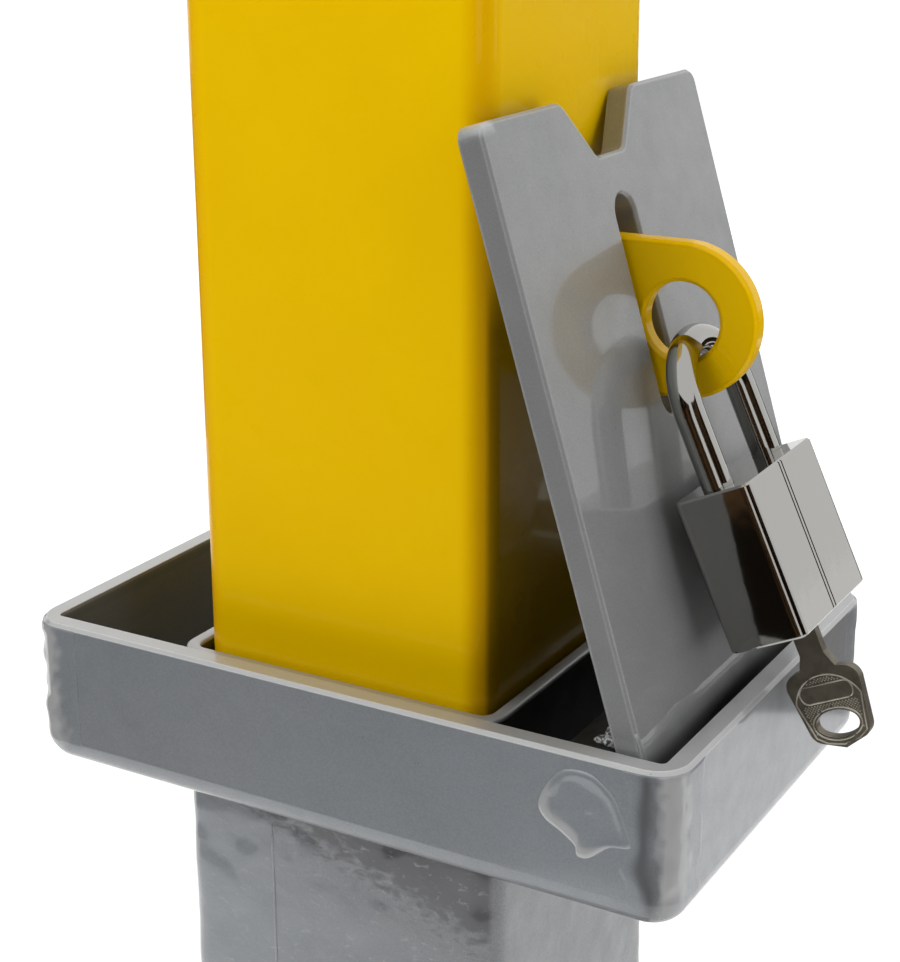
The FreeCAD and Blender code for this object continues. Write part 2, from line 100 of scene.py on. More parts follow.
# Paint colours, as screen values from 0 to 255
YELLOW = (233, 189, 0)
YELLOW_DEEP = (219, 160, 0)
YELLOW_PIT = (120, 78, 0)
YELLOW_SHADE = (70, 44, 0)
GREY = (127, 132, 137)
GREY_LIGHT = (160, 163, 165)
GREY_DARK = (106, 109, 112)
GREY_LID = (130, 131, 130)
GREY_WELD = (138, 141, 145)
GREY_SPECK = (58, 58, 56)
EDGE = (196, 198, 199)
EDGE_HIGHLIGHT = (242, 243, 242)
WEAR_AND_HIGHLIGHT = (176, 177, 177)
RUBBED = (212, 216, 219)
STAIN = (80, 82, 84)
HOLLOW_SHADE = (46, 43, 33)
REFLECTION_DARK = (74, 74, 77)
REFLECTION_LIGHT = (150, 155, 160)

# Metal colours
NEAR_BLACK = (24, 24, 22)
NEAR_BLACK_DEEP = (9, 9, 8)
CRUST_PIT = (74, 74, 72)
CRUST_FLAKE = (190, 194, 195)
CHROME = (168, 167, 163)
CHROME_SCRATCH = (140, 138, 135)
CHROME_SEAM_SHADE = (64, 60, 56)
NICKEL = (128, 122, 109)
NICKEL_DARK = (84, 78, 67)
NICKEL_BRIGHT = (226, 220, 206)
BRASS = (196, 160, 84)
BRASS_DARK = (140, 104, 46)
STEEL = (168, 168, 170)
STEEL_DARK = (120, 118, 116)
METAL_EDGE = (214, 210, 198)

# Studio colours
WHITE = (1, 1, 1, 1)
FLOOR = (250, 250, 250)
FLAG = (24, 20, 16)
FLAG_WARM = (88, 66, 44)


def linear(colour):
    """A colour in screen values as linear light, with an alpha of one."""
    parts = [c / 255 for c in colour]
    return tuple(c / 12.92 if c < 0.04 else ((c + 0.055) / 1.055) ** 2.4 for c in parts) + (1,)


class Nodes:
    """A node tree being made."""

    def __init__(self, tree):
        self.tree = tree

    def add(self, kind, inputs=None, **settings):
        """A new node, with a link or a value in each input that is given."""
        made = self.tree.nodes.new(kind)
        for key, value in settings.items():
            setattr(made, key, value)
        for key, value in (inputs or {}).items():
            self.put(made, key, value)
        return made

    def put(self, made, key, value):
        if isinstance(value, bpy.types.NodeSocket):
            self.tree.links.new(value, made.inputs[key])
        else:
            made.inputs[key].default_value = value

    def math(self, operation, first, second):
        made = self.add("ShaderNodeMath", {0: first, 1: second}, operation=operation)
        return made.outputs["Value"]

    def clear_rays(self):
        """One for the rays that see the plain white room: to the eye, off bright metal, through glass."""
        path = self.add("ShaderNodeLightPath").outputs
        first = self.math("MAXIMUM", path["Is Glossy Ray"], path["Is Transmission Ray"])
        return self.math("MAXIMUM", first, path["Is Camera Ray"])


class Look(Nodes):
    """A material being made: each call adds nodes and returns an output."""

    def __init__(self, name, soft_radius=0.5 * mm):
        self.material = bpy.data.materials.new(name)
        self.material.use_nodes = True
        super().__init__(self.material.node_tree)
        self.shader = self.tree.nodes["Principled BSDF"]
        self.place = self.add("ShaderNodeTexCoord").outputs["Object"]
        self.soft = self.add("ShaderNodeBevel", {"Radius": soft_radius}, samples=3).outputs["Normal"]

    def set(self, **inputs):
        for key, value in inputs.items():
            self.put(self.shader, key.replace("_", " "), value)

    def stretched(self, along_x, along_y, along_z):
        """The surface's own place, scaled so that a texture is drawn out along an axis."""
        scale = (1 / along_x, 1 / along_y, 1 / along_z)
        return self.add("ShaderNodeMapping", {"Vector": self.place, "Scale": scale}).outputs["Vector"]

    def noise(self, size, detail=2.0, rough=0.5, warp=0.0, place=None):
        """Cloudy values about 0 to 1, with lumps of one size."""
        inputs = {"Vector": place or self.place, "Scale": 1 / size}
        inputs.update({"Detail": detail, "Roughness": rough, "Distortion": warp})
        return self.add("ShaderNodeTexNoise", inputs).outputs["Fac"]

    def dots(self, pitch):
        """The distance to the nearest of many scattered points, in cell sizes."""
        inputs = {"Vector": self.place, "Scale": 1 / pitch}
        return self.add("ShaderNodeTexVoronoi", inputs).outputs["Distance"]

    def span(self, value, low, high, to_low=0.0, to_high=1.0):
        """A value moved from one range to another and held inside it."""
        inputs = {"Value": value, "From Min": low, "From Max": high, "To Min": to_low, "To Max": to_high}
        return self.add("ShaderNodeMapRange", inputs).outputs["Result"]

    def product(self, first, *others):
        """Several values multiplied."""
        for other in others:
            first = self.math("MULTIPLY", first, other)
        return first

    def vector(self, operation, first, second=(0, 0, 0)):
        """The outputs of arithmetic on one or two vectors."""
        return self.add("ShaderNodeVectorMath", {0: first, 1: second}, operation=operation).outputs

    def split(self, vector):
        """A vector's parts, as outputs X, Y and Z."""
        return self.add("ShaderNodeSeparateXYZ", {"Vector": vector}).outputs

    def tint(self, base, colour, *shares):
        """A base colour turned towards another one, by the product of the shares."""
        made = self.add("ShaderNodeMix", data_type="RGBA")
        self.put(made, 0, self.product(*shares))
        self.put(made, 6, base if isinstance(base, bpy.types.NodeSocket) else linear(base))
        self.put(made, 7, linear(colour))
        return made.outputs[2]

    def bump(self, height, depth, under):
        """A normal that a height bends away from the normal under it."""
        inputs = {"Height": height, "Distance": depth, "Strength": 1.0, "Normal": under}
        return self.add("ShaderNodeBump", inputs).outputs["Normal"]

    def waves(self, under, size, depth, **texture):
        """A normal that rolls in cloudy lumps over the normal under it."""
        return self.bump(self.noise(size, **texture), depth, under)

    def round_corner(self, half, radius):
        """One on the four round corners of an upright square tube, nothing on its flats."""
        away = self.split(self.vector("ABSOLUTE", self.place)["Vector"])
        least = self.math("MINIMUM", away["X"], away["Y"])
        return self.span(least, half - radius, half - radius * 0.4)

    def crevice(self, reach, local=True):
        """One in narrow gaps, nothing on open faces. Local means gaps within the piece itself."""
        inputs = {"Distance": reach}
        made = self.add("ShaderNodeAmbientOcclusion", inputs, samples=4, only_local=local)
        return self.span(made.outputs["AO"], 0.9, 0.45)

    def worn(self):
        """The wear that a mesh carries: positive where its paint is worn light, negative where stained."""
        return self.add("ShaderNodeAttribute", attribute_name="worn").outputs["Fac"]

    def edge(self):
        """One on sharp edges, falling to nothing on flats."""
        hard = self.add("ShaderNodeNewGeometry").outputs["Normal"]
        match = self.vector("DOT_PRODUCT", self.soft, hard)["Value"]
        return self.span(match, 0.995, 0.88)

    def inside(self, low, high, fade):
        """One inside a box, falling to nothing a little way out of it."""
        centred = self.vector("SUBTRACT", self.place, (low + high) / 2)["Vector"]
        apart = self.vector("ABSOLUTE", centred)["Vector"]
        beyond = self.split(self.vector("SUBTRACT", apart, (high - low) / 2)["Vector"])
        most = self.math("MAXIMUM", self.math("MAXIMUM", beyond["X"], beyond["Y"]), beyond["Z"])
        return self.span(most, fade, 0.0)


def shade_behind_lid(look):
    """Where painted shade lies on the post: on its right face, low behind the leaning lid, deepest in
    narrow gaps.
    """
    skin = 0.8 * mm
    shade_top = lid_high.z - 34 * mm
    shade_full = lid_high.z - 48 * mm
    low = Vector((post_half - skin, -post_half, tray_high.z - 20 * mm))
    high = Vector((post_half + 0.2 * mm, post_half, lid_high.z))
    behind = look.inside(low, high, fade=skin)
    under = look.span(look.split(look.place)["Z"], shade_top, shade_full)
    return look.product(behind, under, look.crevice(60 * mm, local=False))


def yellow_paint():
    """Thick glossy paint with a light orange peel and few pits, deeper orange on the edges, and painted
    shade on the post's round corners and behind the lid.
    """
    look = Look("yellow_gloss", soft_radius=0.9 * mm)
    cloud = look.span(look.noise(size=70 * mm, detail=3), 0.35, 0.7, 0.0, 0.22)
    base = look.tint(YELLOW, YELLOW_DEEP, cloud)
    # Deeper orange on sharp edges, and painted shade on the post's round corners, where the faces turn away
    # from the light.
    deeper = look.math("MAXIMUM", look.edge(), look.round_corner(post_half, post_corner))
    base = look.tint(base, YELLOW_DEEP, deeper, 0.7)
    # Painted shade behind the leaning lid darkens the post's right face.
    base = look.tint(base, YELLOW_SHADE, shade_behind_lid(look), 0.62)
    pits = look.dots(pitch=34 * mm)
    base = look.tint(base, YELLOW_PIT, look.span(pits, 0.006, 0.014, 1.0, 0.0), 0.7)
    normal = look.waves(look.soft, size=22 * mm, depth=0.35 * mm, detail=1)
    normal = look.waves(normal, size=3.2 * mm, depth=0.035 * mm, detail=1.5, warp=0.3)
    normal = look.bump(look.span(pits, 0.004, 0.012), 0.15 * mm, normal)
    rough = look.span(look.noise(size=9 * mm), 0.3, 0.7, 0.24, 0.36)
    look.set(Base_Color=base, Roughness=rough, Normal=normal, Specular_IOR_Level=0.1)
    look.set(Specular_Tint=(1.0, 0.7, 0.1, 1.0), Coat_Weight=0.24, Coat_Roughness=0.04)
    return look.material


def tray_hollow_shade(look, base):
    """Painted shade in the tray's hollow, with only a little on the inside of its left end."""
    low = tray_low + Vector((3, 3, 3)) * mm
    high = tray_high - Vector((3, 3, 4)) * mm
    left_end = Vector((tray_low.x + 7 * mm, high.y, high.z))
    fade = 3.0 * mm
    hollow = look.inside(low, high, fade)
    left_inside = look.inside(low, left_end, fade)
    shade_share = look.span(look.noise(size=30 * mm, detail=3), 0.3, 0.7, 0.6, 0.92)
    shade_share = look.product(shade_share, look.span(left_inside, 0.0, 1.0, 1.0, 0.12))
    return look.tint(base, HOLLOW_SHADE, hollow, shade_share)


def knocked_corner(look, base):
    """Paint that is rubbed light at the lid's top front corner."""
    corner = Vector((0, lid_low.y, lid_high.z))
    low = corner - Vector((0, 1, 0.4)) * mm
    high = corner + Vector((60, 3.5, 1)) * mm
    near = look.inside(low, high, fade=2.4 * mm)
    along_lid = look.stretched(6 * mm, 2 * mm, 1 * mm)
    rubbed = look.span(look.noise(size=2.2 * mm, detail=3, rough=0.6, place=along_lid), 0.38, 0.6)
    return look.tint(base, RUBBED, near, rubbed)


def socket_painted_reflection(look, base):
    """Painted reflection on the socket's front under the tray: a dark band with a ragged edge that falls to
    the right, lighter paint at the lower left, and painted gleams.
    """
    at = look.split(look.place)
    skin = 1 * mm
    ragged = 5 * mm
    low = Vector((-socket_half, -socket_half - 2 * skin, 0))
    high = Vector((socket_half - skin, -socket_half + 1.5 * skin, tray_low.z + 2 * skin))
    front = look.inside(low, high, fade=skin)
    streak_place = look.stretched(4.5 * mm, 4.5 * mm, 2.2 * mm)
    streaks = look.noise(size=1.0, detail=3, rough=0.6, warp=0.4, place=streak_place)
    reach = look.span(at["X"], -36 * mm, socket_half, 1 * mm, 26 * mm)
    reach = look.math("ADD", reach, look.span(streaks, 0.3, 0.7, -ragged, ragged))
    below_tray = look.math("SUBTRACT", tray_low.z, at["Z"])
    dark_band = look.span(look.math("SUBTRACT", below_tray, reach), 4 * mm, -3 * mm)
    left = look.span(at["X"], 30 * mm, -socket_half, 0.1, 0.6)
    # Painted reflection: lighter paint to the lower left, a dark band under the tray, and light gleams.
    base = look.tint(base, REFLECTION_LIGHT, front, left)
    base = look.tint(base, REFLECTION_DARK, front, dark_band, 0.8)
    gleam_place = look.stretched(3.2 * mm, 3.2 * mm, 1.5 * mm)
    gleams = look.noise(size=1.0, detail=3, rough=0.55, warp=0.6, place=gleam_place)
    return look.tint(base, GREY_LIGHT, front, look.span(gleams, 0.6, 0.72), 0.4)


def grey_paint(
    name,
    colour,
    specks=0.5,
    gloss=0.5,
    soft=0.5 * mm,
    edge=EDGE,
    highlight_top=None,
    worn=False,
    knocked=False,
    ripple=0.0,
):
    """Silver-grey paint with a fine grain, dark specks, lighter edges and painted shade in the tray's
    hollow.

    edge is the edges' colour, and the one after it the height of a rim whose top gets a painted highlight.
    worn follows the wear that the mesh carries. knocked rubs the lid's corner. ripple is the depth of the
    socket's waves, which come with its painted reflection.
    """
    look = Look(name, soft)
    cloud = look.span(look.noise(size=38 * mm, detail=3, rough=0.55), 0.3, 0.75, 0.0, 0.35)
    base = look.tint(colour, GREY_DARK, cloud)
    grain = look.span(look.noise(size=0.45 * mm, detail=1), 0.3, 0.7, 0.0, 0.22)
    # Painted shade darkens the tray's hollow.
    base = tray_hollow_shade(look, look.tint(base, GREY_LIGHT, grain))
    if highlight_top is not None:
        # A painted highlight: the top of the rim is painted lighter, as where light from above falls on it.
        low = Vector((tray_low.x, tray_low.y, highlight_top - rim_edge))
        base = look.tint(base, WEAR_AND_HIGHLIGHT, look.inside(low, tray_high + Z_AXIS * mm, fade=0.3 * mm), 0.8)
    if worn:
        wear = look.worn()
        base = look.tint(base, WEAR_AND_HIGHLIGHT, look.span(wear, 0.0, 1.0))
        base = look.tint(base, STAIN, look.span(wear, 0.0, -1.0))
    if knocked:
        base = knocked_corner(look, base)
    speck = look.span(look.dots(pitch=3.1 * mm), 0.03, 0.07, specks, 0.0)
    patchy = look.span(look.noise(size=17 * mm), 0.5, 0.62)
    base = look.tint(base, GREY_SPECK, speck, patchy)
    # Lighter edges; the tray's near-white edge colour is a painted highlight.
    base = look.tint(base, edge, look.edge(), 0.8)
    normal = look.waves(look.soft, size=24 * mm, depth=0.3 * mm, detail=1)
    normal = look.waves(normal, size=2.4 * mm, depth=0.03 * mm, detail=1.5)
    if ripple:
        normal = look.waves(normal, size=7 * mm, depth=ripple, warp=0.6)
        # The socket's front gets a painted reflection with painted gleams.
        base = socket_painted_reflection(look, base)
    rough = look.span(look.noise(size=6 * mm, detail=3), 0.3, 0.7, 0.34, 0.48)
    look.set(Base_Color=base, Roughness=rough, Normal=normal, Metallic=0.25)
    look.set(Coat_Weight=gloss, Coat_Roughness=0.07)
    return look.material


def near_black_steel():
    """Near-black steel with a cloudy tone, on the hinge barrel."""
    look = Look("near_black_steel")
    deeper = look.span(look.noise(size=6 * mm, detail=3, rough=0.6), 0.4, 0.7)
    base = look.tint(NEAR_BLACK, NEAR_BLACK_DEEP, deeper)
    normal = look.waves(look.soft, size=1.5 * mm, depth=0.05 * mm, detail=3)
    look.set(Base_Color=base, Roughness=0.6, Normal=normal, Specular_IOR_Level=0.2)
    return look.material


def crusty_weld():
    """Weld left as it set: silver paint in flakes over dark pits."""
    look = Look("crusty_weld", soft_radius=0.15 * mm)
    flakes = look.span(look.noise(size=1.1 * mm, detail=4, rough=0.65), 0.44, 0.56)
    base = look.tint(CRUST_PIT, CRUST_FLAKE, flakes)
    normal = look.waves(look.soft, size=0.8 * mm, depth=0.25 * mm, detail=3, rough=0.6)
    look.set(Base_Color=base, Roughness=0.34, Normal=normal, Metallic=0.4)
    return look.material


def chrome():
    """Bright plate that wavers a little, with hair scratches and painted shade in its seams."""
    look = Look("chrome_plate", soft_radius=0.16 * mm)
    hair_place = look.stretched(0.4 * mm, 14 * mm, 14 * mm)
    scratch = look.span(look.noise(size=0.35 * mm, rough=0.6, place=hair_place), 0.6, 0.75)
    base = look.tint(CHROME, CHROME_SCRATCH, scratch, 0.25)
    # Painted shade darkens the narrow seams and grooves.
    seam_shade = look.crevice(0.6 * mm)
    base = look.tint(base, CHROME_SEAM_SHADE, seam_shade)
    rough = look.span(scratch, 0.0, 1.0, 0.055, 0.2)
    normal = look.waves(look.soft, size=5 * mm, depth=0.018 * mm, detail=1)
    normal = look.waves(normal, size=0.6 * mm, depth=0.0012 * mm)
    look.set(Base_Color=base, Metallic=1.0, Roughness=rough, Normal=normal)
    return look.material


def plain_metal(name, colour, dark, rough_low, rough_high):
    """Machined or stamped metal with a cloudy tarnish."""
    look = Look(name, soft_radius=0.2 * mm)
    tarnish = look.span(look.noise(size=4 * mm, detail=4, rough=0.6), 0.4, 0.75)
    base = look.tint(colour, dark, tarnish, 0.6)
    base = look.tint(base, METAL_EDGE, look.edge(), 0.7)
    rough = look.span(look.noise(size=1.2 * mm), 0.3, 0.7, rough_low, rough_high)
    normal = look.waves(look.soft, size=0.3 * mm, depth=0.006 * mm)
    look.set(Base_Color=base, Metallic=1.0, Roughness=rough, Normal=normal)
    return look.material


def dress(material, *nodes):
    """Gives CAD nodes a material in every slot."""
    for name in nodes:
        for slot in frame["nodes"][name].material_slots:
            slot.material = material


def piece(name, points, faces, material, body, worn=None):
    """A new smooth mesh piece that rides on a body. worn is the wear that it carries at each point."""
    mesh = bpy.data.meshes.new(name)
    mesh.from_pydata([tuple(p) for p in points], [], faces)
    if worn:
        mesh.attributes.new("worn", "FLOAT", "POINT").data.foreach_set("value", worn)
    work = bmesh.new()
    work.from_mesh(mesh)
    bmesh.ops.remove_doubles(work, verts=work.verts, dist=1e-7)
    bmesh.ops.recalc_face_normals(work, faces=work.faces)
    work.to_mesh(mesh)
    work.free()
    mesh.shade_smooth()
    mesh.materials.append(material)
    made = bpy.data.objects.new(name, mesh)
    bpy.context.scene.collection.objects.link(made)
    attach(made, body)
    return made


def grid_faces(rows, cols, first=0, wrap_rows=False, wrap_cols=False):
    """The faces of a grid of points that is numbered row by row."""
    faces = []
    for r in range(rows if wrap_rows else rows - 1):
        for c in range(cols if wrap_cols else cols - 1):
            here = first + r * cols
            above = first + (r + 1) % rows * cols
            right = (c + 1) % cols
            faces.append((here + c, here + right, above + right, above + c))
    return faces


def closed_patch(top, under, wrap=False):
    """Points and faces of a closed skin between two grids of the same size."""
    rows, cols = len(top), len(top[0])
    points = [p for row in top + under for p in row]
    second = rows * cols
    faces = grid_faces(rows, cols, 0, False, wrap)
    faces += [face[::-1] for face in grid_faces(rows, cols, second, False, wrap)]
    border = list(range(cols))
    far = [(rows - 1) * cols + c for c in border]
    if wrap:
        loops = [border, far]
    else:
        right = [r * cols + cols - 1 for r in range(rows)]
        left = [r * cols for r in range(rows)]
        loops = [border + right[1:] + far[-2::-1] + left[-2:0:-1]]
    for loop in loops:
        for i, a in enumerate(loop):
            b = loop[(i + 1) % len(loop)]
            faces.append((a, a + second, b + second, b))
    return points, faces


def lump(place, size, seed):
    """A smooth random value from about -1 to 1, always the same at one place."""
    return noise.noise(place / size + Vector((seed * 7.3, seed * 3.1, seed * 5.7)))


def bead(name, path, radius, material, body, closed=False, seed=1, pitch=1.7 * mm):
    """A weld bead along a path, with a ripple for each drop of the weld and tapered ends."""
    sides = 12
    base_share = 0.92
    drop_rise = 0.1
    lump_rise = 0.22
    bulge_rise = 0.08
    end_share = 0.25
    end_steps = 5
    count = len(path)
    rows = []
    run = 0.0
    for i, at in enumerate(path):
        before = path[i - 1] if i or closed else at
        after = path[(i + 1) % count] if i + 1 < count or closed else at
        along = (after - before).normalized()
        run += (at - before).length if i else 0.0
        side = along.cross(Z_AXIS if abs(along.z) < 0.7 else X_AXIS).normalized()
        up = side.cross(along)
        ripple = drop_rise * abs(math.sin(math.pi * run / pitch)) + lump_rise * lump(at, 5 * mm, seed)
        taper = 1.0 if closed else min(1.0, end_share + min(i, count - 1 - i) / end_steps)
        r = radius * taper * (base_share + ripple)
        row = []
        for k in range(sides):
            turn = 2 * math.pi * k / sides
            bulge = r * (1 + bulge_rise * lump(at + side * k * mm, 2 * mm, seed))
            row.append(at + side * (bulge * math.cos(turn)) + up * (bulge * math.sin(turn)))
        rows.append(row)
    faces = grid_faces(count, sides, 0, closed, True)
    if not closed:
        faces.append(tuple(range(sides)))
        faces.append(tuple((count - 1) * sides + k for k in range(sides)))
    piece(name, [p for row in rows for p in row], faces, material, body)


def straight(start, end, step=0.8 * mm):
    """Points a small step apart on a straight line."""
    count = max(2, round((end - start).length / step))
    return [start.lerp(end, i / count) for i in range(count + 1)]


def quarter_turns():
    """The four turns that bring one side of a square to each of its sides."""
    return [Matrix.Rotation(quarter * math.pi / 2, 3, "Z") for quarter in range(4)]


def square_ring(half, corner, step):
    """Places and outward directions round a rounded square, the same number for any size."""
    side_count = round(2 * socket_half / step)
    arc_count = 5
    flat = half - corner
    places = []
    for turn in quarter_turns():
        for i in range(side_count):
            y = -flat + 2 * flat * i / side_count
            places.append((turn @ Vector((half, y, 0)), turn @ X_AXIS))
        for i in range(arc_count):
            angle = math.pi / 2 * i / arc_count
            out = Vector((math.cos(angle), math.sin(angle), 0))
            places.append((turn @ (Vector((flat, flat, 0)) + out * corner), turn @ out))
    return places


def make_socket_shell(material):
    """The socket tube with its thick rippled paint, open at both ends."""
    step = 2.5 * mm
    rim = 0.7 * mm
    wave_outside, wave_in_tray = 0.42 * mm, 0.1 * mm
    coarse, fine, sink = 0.7, 0.35, 0.2
    low, high = socket_low.z, socket_high.z
    inner_half = socket_half - socket_wall
    inner_corner = socket_corner - socket_wall
    outer = square_ring(socket_half, socket_corner, step)
    inner = square_ring(inner_half, inner_corner, step)
    count = round((high - low) / step)
    rows = []
    for i in range(count + 1):
        z = low + (high - rim - low) * i / count
        strength = wave_outside if z < tray_low.z - 1 * mm else wave_in_tray
        row = []
        for place, out in outer:
            at = place + Z_AXIS * z
            swell = coarse * lump(at, 13 * mm, seed=1) + fine * lump(at, 5 * mm, seed=2) - sink
            row.append(at + out * (swell * strength))
        rows.append(row)
    over_rim = [(outer, -1, turn) for turn in (30, 60, 90)]
    over_rim += [(inner, 1, turn) for turn in (90, 60, 30, 0)]
    for ring, way, turn in over_rim:
        back = rim * (1 - math.cos(math.radians(turn)))
        z = high - rim + rim * math.sin(math.radians(turn))
        rows.append([p + out * (way * back) + Z_AXIS * z for p, out in ring])
    rows.append([p + Z_AXIS * low for p, out in inner])
    faces = grid_faces(len(rows), len(rows[0]), 0, True, True)
    shell = piece("socket_shell", [p for row in rows for p in row], faces, material, "ground_socket")
    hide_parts("socket_tube")


def corner_path(side_x, side_y, reach, count):
    """Places, outward directions and runs from the bend's start, round a corner of the tray."""
    edge_x = tray_high.x if side_x > 0 else tray_low.x
    centre = Vector((edge_x - side_x * tray_corner, side_y * (tray_high.y - tray_corner), 0))
    places = []
    for i in range(count + 1):
        run = -reach + (2 * reach + math.pi / 2 * tray_corner) * i / count
        angle = min(max(run / tray_corner, 0), math.pi / 2)
        out = Vector((side_x * math.cos(angle), side_y * math.sin(angle), 0))
        spare = run - angle * tray_corner
        along = Vector((-side_x * math.sin(angle), side_y * math.cos(angle), 0))
        places.append((centre + out * tray_corner + along * spare, out, run))
    return places


def bend_back(height):
    """How far the tray's lower bend lies inside its wall, at a height over the tray's underside."""
    below = max(0.0, tray_bend - height)
    return tray_bend - math.sqrt(tray_bend ** 2 - below ** 2)


# The welds at the tray's corners. After the name and the sides in X and Y come, in millimetres, the
# lumps' height and size, the patch's width, swell and shift to the end wall, and then how stained it is.
CORNER_WELDS = [
    ("corner_weld_left_front", -1, -1, 1.5, 6, 8, 0.25, 0, 0.0),
    ("corner_weld_right_front", 1, -1, 0.3, 4, 5, 0.12, 2, 0.9),
    ("corner_weld_left_back", -1, 1, 0.7, 5, 8, 0.2, 0, 0.0),
    ("corner_weld_right_back", 1, 1, 0.5, 4, 7, 0.15, 0, 0.0),
]


def make_corner_weld(material, name, side_x, side_y, lumps, lump_size, wide, swell, shift, stain):
    """The weld up one corner of the tray, ground back by hand to a wavy patch."""
    count = 40
    reach = 6 * mm
    depth = 0.8 * mm
    film = 0.03 * mm
    waver, waver_size = 0.35, 8 * mm
    feather, feather_drop = 2.3 if stain else 1.7, 0.5 * mm
    stain_middle, stain_half = 1.45, 0.34
    wear, wear_steep, wear_ragged, wear_size = 0.85, 2.4, 0.7, 2.6 * mm
    foot_levels, rim_levels, rim_share, wear_share = 10, 3, 0.2, 0.3
    low = tray_low.z + 2.4 * mm
    high = tray_high.z - rim_edge
    levels = round((high - low) / (0.9 * mm))
    middle = math.pi / 4 * tray_corner - shift * mm
    top, under, worn = [], [], []
    for level in range(levels + 1):
        z = low + (high - low) * level / levels
        fade = min(1.0, level / foot_levels, rim_share + (levels - level) / rim_levels)
        back = bend_back(z - tray_low.z)
        row_top, row_under = [], []
        for place, out, run in corner_path(side_x, side_y, reach, count):
            at = place + Z_AXIS * z
            waved = lump(at + out * 3 * mm, waver_size, seed=side_x * 2 + side_y)
            width = wide * mm * (1 + waver * waved)
            across = abs(run - middle) / width
            rise = swell * mm * max(0.0, 1 - across ** 3)
            rise += lumps * mm * lump(at, lump_size * mm, seed=4 + side_x) * max(0.0, 1 - across)
            rise = (max(rise, 0.0) + film) * fade
            rise -= feather_drop * max(0.0, across - feather)
            ragged = wear_ragged * lump(at, wear_size, seed=8)
            light = min(1.0, max(0.0, wear_steep * (1 - across) + ragged))
            dark = stain * math.exp(-((across - stain_middle) / stain_half) ** 2) if run > middle else 0.0
            worn.append((wear * light - dark) * min(1.0, fade + wear_share))
            row_top.append(at + out * (rise - back))
            row_under.append(at - out * (depth + back))
        top.append(row_top)
        under.append(row_under)
    points, faces = closed_patch(top, under)
    piece(name, points, faces, material, "ground_socket", worn=worn + worn)


# The outline of the hinge pin's plug weld: along X and down from the rim, in millimetres
PLUG_WELD = [
    (63.8, 13.9), (65.4, 9.2), (69.0, 4.7), (72.5, 3.4), (76.0, 3.4), (78.3, 4.6),
    (81.9, 7.7), (83.8, 11.4), (85.0, 14.6), (86.1, 18.6), (81.0, 20.0), (76.4, 23.7),
    (73.5, 24.0), (72.8, 21.6), (69.1, 19.0), (65.5, 17.0),
]

# How the plug weld rises from its outline to its middle: share of the outline's size, and millimetres
PLUG_WELD_RISE = [
    (1.0, -0.25), (0.985, 0.02), (0.95, 0.28), (0.9, 0.4), (0.84, 0.36), (0.77, 0.26),
    (0.7, 0.2), (0.55, 0.2), (0.38, 0.22), (0.2, 0.24), (0.08, 0.24),
]


def smooth_loop(corners, between):
    """A closed curve through corner points, with points added between them."""
    count = len(corners)
    curve = []
    for i in range(count):
        a, b, c, d = [corners[(i + k) % count] for k in (-1, 0, 1, 2)]
        for j in range(between):
            t = j / between
            square = (2 * a - 5 * b + 4 * c - d) * t * t
            cube = (3 * b - a - 3 * c + d) * t ** 3
            curve.append(0.5 * (2 * b + (c - a) * t + square + cube))
    return curve


def make_plug_weld(name, side_y, material):
    """The hinge pin's plug weld, ground to a low plateau with a raised rim, worn at its lower left."""
    flank_rise = 0.1
    wave_rise = 0.16
    right_drop = 0.55
    low_share, left_share = 0.75, 0.65
    rub_start, rub_reach, rub_steep = 0.9, 0.3, 9
    least_rub = 0.45
    wall = side_y * tray_high.y
    out = Y_AXIS * side_y
    corners = [Vector((x * mm, wall, tray_high.z - down * mm)) for x, down in PLUG_WELD]
    outline = smooth_loop(corners, 5)
    centre = sum(outline, Vector()) / len(outline)
    top, under, worn = [], [], []
    for share, rise in PLUG_WELD_RISE:
        row = []
        for p in outline:
            away = (p - centre).normalized()
            low_left = max(0.0, -away.z * low_share - away.x * left_share)
            rubbed = min(1.0, max(0.0, (share - rub_start + rub_reach * low_left) * rub_steep))
            worn.append(rubbed * (least_rub + (1 - least_rub) * low_left))
            at = centre.lerp(p, share)
            height = rise
            if rise > flank_rise:
                wave = wave_rise * lump(at, 5 * mm, seed=3 + side_y)
                height = (rise + wave) * (1 - right_drop * max(0.0, away.x))
            row.append(at + out * (height * mm))
        top.append(row)
        under.append([centre.lerp(p, share) - out * plug_weld_sink for p in outline])
    points, faces = closed_patch(top, under, wrap=True)
    count = len(outline)
    grid = len(top) * count
    last = grid - count
    inner_walls = [f for f in faces if all(last <= i % grid for i in f)]
    faces = [f for f in faces if f not in inner_walls]
    faces.append(tuple(last + i for i in range(count)))
    faces.append(tuple(grid + last + i for i in range(count)))
    piece(name, points, faces, material, "ground_socket", worn=worn + worn)


def lid_face():
    """The outward direction of the leaning lid's broad face."""
    broad = max(frame["nodes"]["lid_plate"].data.polygons, key=lambda face: face.area)
    out = Vector(broad.normal)
    return out if out.x > 0 else -out


lid_out = lid_face()
lid_up = Vector((-lid_out.z, 0, lid_out.x))
lid_half = (barrel_high.y - barrel_low.y) / 2 - 0.5 * mm


def on_lid(out, across, up):
    """A place given out from the hinge axis, along the hinge, and up the lid."""
    return hinge + lid_out * out + Y_AXIS * across + lid_up * up


